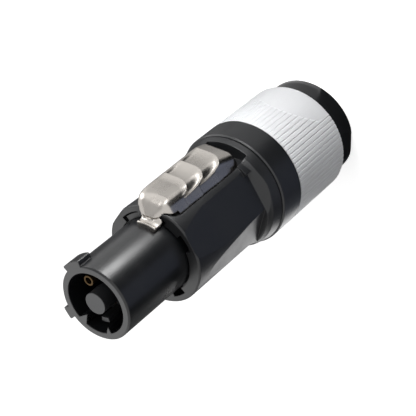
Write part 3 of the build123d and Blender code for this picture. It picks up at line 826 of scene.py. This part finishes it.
quads = [(i, i + 1, i + BOARD_STEPS + 2, i + BOARD_STEPS + 1) for i in range(BOARD_STEPS)]
for layer, (name, (sides, radii, shade, strength)) in enumerate(boards.items()):
    width = sides[1] - sides[0]
    ways = [toward(sides[0] + width * i / BOARD_STEPS, 0) for i in range(BOARD_STEPS + 1)]
    # each board lies a little over the last one, so the later one is mirrored where two overlap
    lift = Vector((0, 0, LOWEST_BOARD + BOARD_GAP * layer)) * MM
    points = [way * r * MM + lift for r in radii for way in ways]
    only_mirrored(name, points, quads, shade, strength)
print("boards", len(boards))

# %% A card high in front, for the slopes that face forward and up
CARD_AZIMUTH, CARD_ELEVATION = 44, 45
CARD_DISTANCE = 0.3
CARD_HALF_WIDTH, CARD_HALF_HEIGHT = 0.13, 0.1
card_way = toward(CARD_AZIMUTH, CARD_ELEVATION)
across = card_way.cross(Vector((0, 0, 1))).normalized() * CARD_HALF_WIDTH
upward = across.cross(card_way).normalized() * CARD_HALF_HEIGHT
centre = MIDDLE + card_way * CARD_DISTANCE
corners = [centre + across * i + upward * j for i, j in ((-1, -1), (1, -1), (1, 1), (-1, 1))]
only_mirrored("high card", corners, [(0, 1, 2, 3)], "#C9C9C9", 1.0)
print("card", 2 * CARD_HALF_WIDTH, "by", 2 * CARD_HALF_HEIGHT, "m")

# %% [markdown]
# ## Studio: lamps
# Five soft lamps. A strip close to the latch's side draws the long highlight on the barrel and the
# housing. On bright metal it would burn out, so the latch is kept off it by light linking, and a
# weak, narrow strip and a lamp for its glint give it its highlights back. A box from behind and a
# fill from in front lift the rest, and the fill shows in no reflection.

# %% Lamps
STRIP_AIM = MIDDLE + Vector((0, 0, 3)) * MM


def soft_lamp(name, azimuth_deg, elevation_deg, distance, width, height, power, target):
    """A rectangular softbox that faces a target point."""
    lamp = new_object(name, bpy.data.lights.new(name, "AREA"))
    lamp.data.shape = "RECTANGLE"
    lamp.data.size = width
    lamp.data.size_y = height
    lamp.data.energy = power
    way = toward(azimuth_deg, elevation_deg)
    lamp.location = target + way * distance
    lamp.rotation_mode = "QUATERNION"
    lamp.rotation_quaternion = way.to_track_quat("Z", "Y")
    lamp.visible_camera = False
    return lamp


# azimuth and elevation in degrees, distance, width and height in metres, watts and target
lamp_values = {
    "key strip": (1, 0, 0.07, 0.026, 0.04, 0.041, STRIP_AIM),
    "narrow strip": (1, 0, 0.07, 0.009, 0.04, 0.006, STRIP_AIM),
    "top box": (140, 45, 0.4, 0.35, 0.35, 0.3, MIDDLE),
    "front fill": (25, 40, 0.5, 0.3, 0.3, 0.6, MIDDLE),
    "latch glint": (58, 8, 0.4, 0.26, 0.2, 0.5, MIDDLE),
}
lamps = {name: soft_lamp(name, *values) for name, values in lamp_values.items()}
lamps["front fill"].visible_glossy = False
lamps["latch glint"].visible_diffuse = False
spared = bpy.data.collections.new("kept off the key strip")
spared.objects.link(latch_casting)
spared.collection_objects[0].light_linking.link_state = "EXCLUDE"
lamps["key strip"].light_linking.receiver_collection = spared
print("lamps", len(lamps))

# %% [markdown]
# ## Studio: floor and world
# The photo's ground is plain white with no shadow, so the floor and the world look white to the
# camera and in reflections. For the light that they throw on the connector they are dimmer,
# because an evenly white room would wash out the black plastic. A light path node tells the two
# kinds of ray apart.


# %% Rays that look at a thing
def looked_at(tree):
    """1 for rays of the camera, of reflections and of clear materials, and 0 for all others."""
    path = add(tree, "ShaderNodeLightPath").outputs
    rays = path["Is Camera Ray"]
    for kind in ("Is Glossy Ray", "Is Transmission Ray"):
        rays = add(tree, MATH, (rays, path[kind]), operation="MAXIMUM")
    return rays


# %% Floor
FLOOR_SIZE = 3.0
FLOOR_GLOW = 0.75
WHITE, BLACK = (1, 1, 1, 1), (0, 0, 0, 1)

bpy.ops.mesh.primitive_plane_add(size=FLOOR_SIZE)
floor = bpy.context.active_object
floor.name = "floor"
floor_material, tree = new_material("pale studio floor")
matt = add(tree, "ShaderNodeBsdfDiffuse", {"Color": colour("#E6E6E6")})
glow = add(tree, "ShaderNodeEmission", {"Color": WHITE, "Strength": FLOOR_GLOW})
dark = add(tree, "ShaderNodeEmission", {"Color": BLACK, "Strength": 0.0})
extra = add(tree, "ShaderNodeMixShader", (looked_at(tree), dark, glow))
both = add(tree, "ShaderNodeAddShader", (matt, extra))
add(tree, "ShaderNodeOutputMaterial", {"Surface": both})
floor.data.materials.append(floor_material)
print("floor", FLOOR_SIZE, "m")

# %% World
# how bright it is as a light and where it is looked at
WORLD_LIGHT, WORLD_LOOK = 0.25, 1.0

world = bpy.data.worlds.new("studio")
world.use_nodes = True
tree = world.node_tree
tree.nodes.clear()
strength = add(tree, "ShaderNodeMapRange", {
    "Value": looked_at(tree), "To Min": WORLD_LIGHT, "To Max": WORLD_LOOK})
sky = add(tree, "ShaderNodeBackground", {"Color": WHITE, "Strength": strength})
add(tree, "ShaderNodeOutputWorld", {"Surface": sky})
bpy.context.scene.world = world
bpy.context.scene.view_settings.view_transform = "Standard"
print("world", WORLD_LIGHT, "as a light and", WORLD_LOOK, "to the eye")
